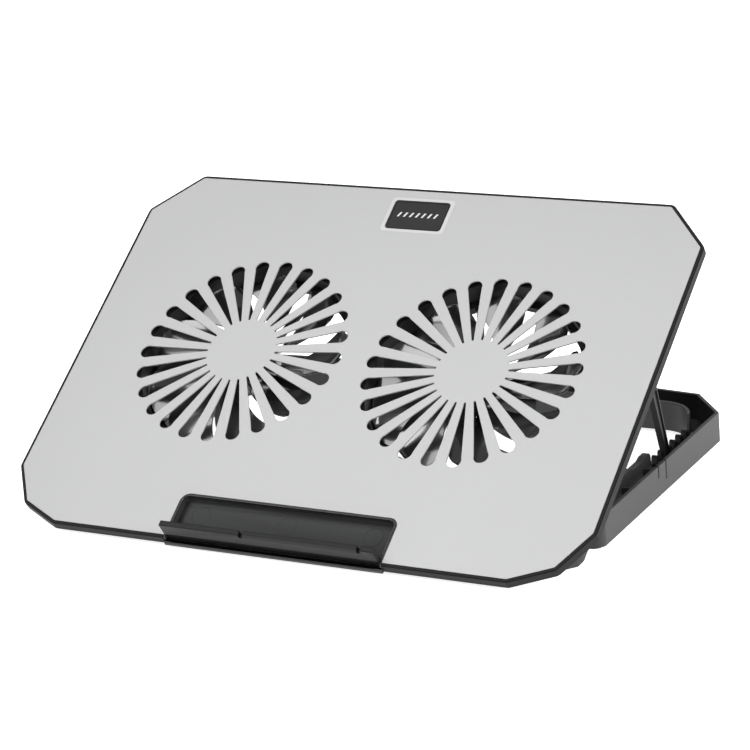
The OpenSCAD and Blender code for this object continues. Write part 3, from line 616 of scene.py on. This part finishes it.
MARK_BARS = 7
MARK_PITCH = 3.9
TRAY_FLOOR = -4.6
TRAY_RIM = 1.3              # from the tray's outside to the middle of its wall
TRAY_CORNER_R = 4.2
TRAY_EDGE_FRONT = 4.5
EJECTOR_R = 5.6
EJECTOR_Y = 17.5


def moved(outline, x, y):
    return [(px + x, py + y) for px, py in outline]


def bead(name, outline, height, thickness, finish, closed=True):
    """A fine raised line that follows an outline on the deck."""
    curve = bpy.data.curves.new(name, "CURVE")
    curve.dimensions = "3D"
    curve.bevel_depth = thickness * MM
    curve.bevel_resolution = 3
    curve.use_fill_caps = True
    line = curve.splines.new("POLY")
    line.points.add(len(outline) - 1)
    line.use_cyclic_u = closed
    for point, (x, y) in zip(line.points, outline):
        point.co = (*(to_deck @ Vector((x, y, height))), 1)
    curve.materials.append(finish)
    made = bpy.data.objects.new(name, curve)
    bpy.context.scene.collection.objects.link(made)
    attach(made, "deck")


def badge_print():
    """Short slanted bars across the badge, like a breeze, and a flat silver frame round it."""
    low, high = spread("badge")
    middle = middle_of(low, high)
    face = high[2] - 0.3
    bars = []
    for k in range(MARK_BARS):
        x = (k - (MARK_BARS - 1) / 2) * MARK_PITCH
        bars.append(slab([(x - 1.3, -1.6), (x - 0.1, -1.6), (x + 1.3, 1.6), (x + 0.1, 1.6)],
                         face - 0.01, face + 0.04))
    piece("badge_mark", on(to_deck, shift(gather(bars), *middle)), "deck", ink, smooth=False)
    width, depth = high[0] - low[0], high[1] - low[1]
    flat = hoop(rounded_box(width + 5.0, depth + 4.4, 2.6),
                rounded_box(width + 0.5, depth + 0.5, 2.2), -0.01, 0.09)
    piece("badge_frame", on(to_deck, shift(flat, *middle)), "deck", frame_silver, smooth=False)


def tray_trim():
    """A glossy raised line round the tray's wall, open at the front, and rings on its floor."""
    high = spread("stop_tray")[1]
    side_x = high[0] - TRAY_RIM
    back_y = high[1] - TRAY_RIM
    corner_x, corner_y = side_x - TRAY_CORNER_R, back_y - TRAY_CORNER_R
    edge = ([(side_x, TRAY_EDGE_FRONT)] + arc(corner_x, corner_y, TRAY_CORNER_R, 0, 90)
            + arc(-corner_x, corner_y, TRAY_CORNER_R, 90, 180) + [(-side_x, TRAY_EDGE_FRONT)])
    bead("tray_edge", edge, 0.05, 0.4, tray_gloss, closed=False)
    for k, x in enumerate((-53, 1, 54)):
        bead("tray_mark_%d" % (k + 1), moved(arc(0, 0, EJECTOR_R, 0, 351, 39), x, EJECTOR_Y),
             TRAY_FLOOR + 0.02, 0.12, tray_black)


badge_print()
tray_trim()

# ---------------------------------------------------------------- electronics

SOLDER_SIDE = 1.3           # solder and pins below the control board
BOARD_THICKNESS = 1.6


def block(x0, x1, y0, y1, z0, z1):
    return slab([(x0, y0), (x1, y0), (x1, y1), (x0, y1)], z0, z1)


def socket_contacts(side):
    """Four sprung contacts in a row under a power socket's roof."""
    low, high = spread("usb_port_" + side)
    middle, back, top = middle_of(low, high)[0], high[1], high[2]
    contacts = [block(middle + x - 0.5, middle + x + 0.5, back - 9.5, back - 1.2, top - 2.62, top - 2.5)
                for x in (-3.5, -1.2, 1.2, 3.5)]
    made = piece("contacts_" + side, on(to_deck, gather(contacts)), "deck", gold, smooth=False)
    soften(made, 0.05, 1, 40)


def board_parts():
    """Two driver chips, two round capacitors and a row of small resistors on the control board."""
    low = spread("control_board")[0]
    front = low[1]
    top = low[2] + SOLDER_SIDE + BOARD_THICKNESS
    chips = [shift(slab(rounded_box(5.4, 3.8, 0.2, 2), 0, 1.3), x, front + 14.5, top) for x in (-33, 1)]
    soften(piece("driver_chips", on(to_deck, gather(chips)), "deck", chip_black), 0.2)
    can = [(0.01, 0), (2.3, 0), (2.5, 0.4), (2.5, 5.0), (2.2, 5.4), (0.01, 5.4)]
    cans = [shift(lathe(can, 40), x, front + 9.5, top) for x in (20, 26)]
    piece("capacitors", on(to_deck, gather(cans)), "deck", can_silver)
    resistors = [block(x, x + 1.6, front + 6.2, front + 7.0, top, top + 0.5) for x in range(8, 20, 3)]
    soften(piece("resistors", on(to_deck, gather(resistors)), "deck", chip_black), 0.08)


def dial_marks():
    """Growing pale dots above the dial's window: turn this way for faster fans."""
    low, high = spread("speed_dial")
    middle = middle_of(low, high)[0]
    wall = spread("usb_port_left")[1][1] + 0.3
    dots = []
    for k in range(5):
        r = 0.35 + 0.1 * k
        dot = lathe([(0.01, 0), (r, 0), (r, 0.08), (0.01, 0.08)], 20)
        bmesh.ops.rotate(dot, verts=dot.verts, cent=(0, 0, 0), matrix=Matrix.Rotation(-math.pi / 2, 3, "X"))
        dots.append(shift(dot, middle - 5 + 2.5 * k, wall - 0.02, high[2] + 2.2))
    piece("dial_marks", on(to_deck, gather(dots)), "deck", ink, smooth=False)


for side in ("left", "right"):
    socket_contacts(side)
board_parts()
dial_marks()

# ---------------------------------------------------------------- stage

def lay_floor():
    mesh = bpy.data.meshes.new("floor")
    bm = bmesh.new()
    bmesh.ops.create_grid(bm, x_segments=2, y_segments=2, size=7)
    bm.to_mesh(mesh)
    bm.free()
    mesh.materials.append(pale_floor())
    floor = bpy.data.objects.new("floor", mesh)
    bpy.context.scene.collection.objects.link(floor)


def soft_light(name, at, towards, width, height, watts):
    """A rectangular lamp at one point, turned towards another."""
    data = bpy.data.lights.new(name, "AREA")
    data.shape = "RECTANGLE"
    data.size = width
    data.size_y = height
    data.energy = watts
    lamp = bpy.data.objects.new(name, data)
    lamp.location = at
    lamp.rotation_euler = (Vector(towards) - Vector(at)).to_track_quat("-Z", "Y").to_euler()
    bpy.context.scene.collection.objects.link(lamp)


lay_floor()
soft_light("key_above", (-1.0, -0.3, 2.4), (0, 0, 0), 1.3, 1.6, 21)
soft_light("strip_above", (0.55, -0.15, 2.4), (0, 0, 0), 0.5, 0.9, 9)
soft_light("front_left", (-1.2, -1.65, 1.55), (0, 0, 0.08), 1.2, 1.2, 22)
soft_light("side_right", (2.6, -0.5, 1.0), (0, 0, 0.05), 1.4, 1.2, 72)
soft_light("back_rise", (0.2, 2.6, 1.6), (0, 0, 0.1), 2.4, 1.0, 12)
world = bpy.data.worlds.new("studio")
world.use_nodes = True
air = world.node_tree.nodes["Background"]
air.inputs["Color"].default_value = (1, 1, 1, 1)
air.inputs["Strength"].default_value = 0.25
bpy.context.scene.world = world
bpy.context.scene.view_settings.view_transform = "Standard"
bpy.context.scene.view_settings.look = "None"
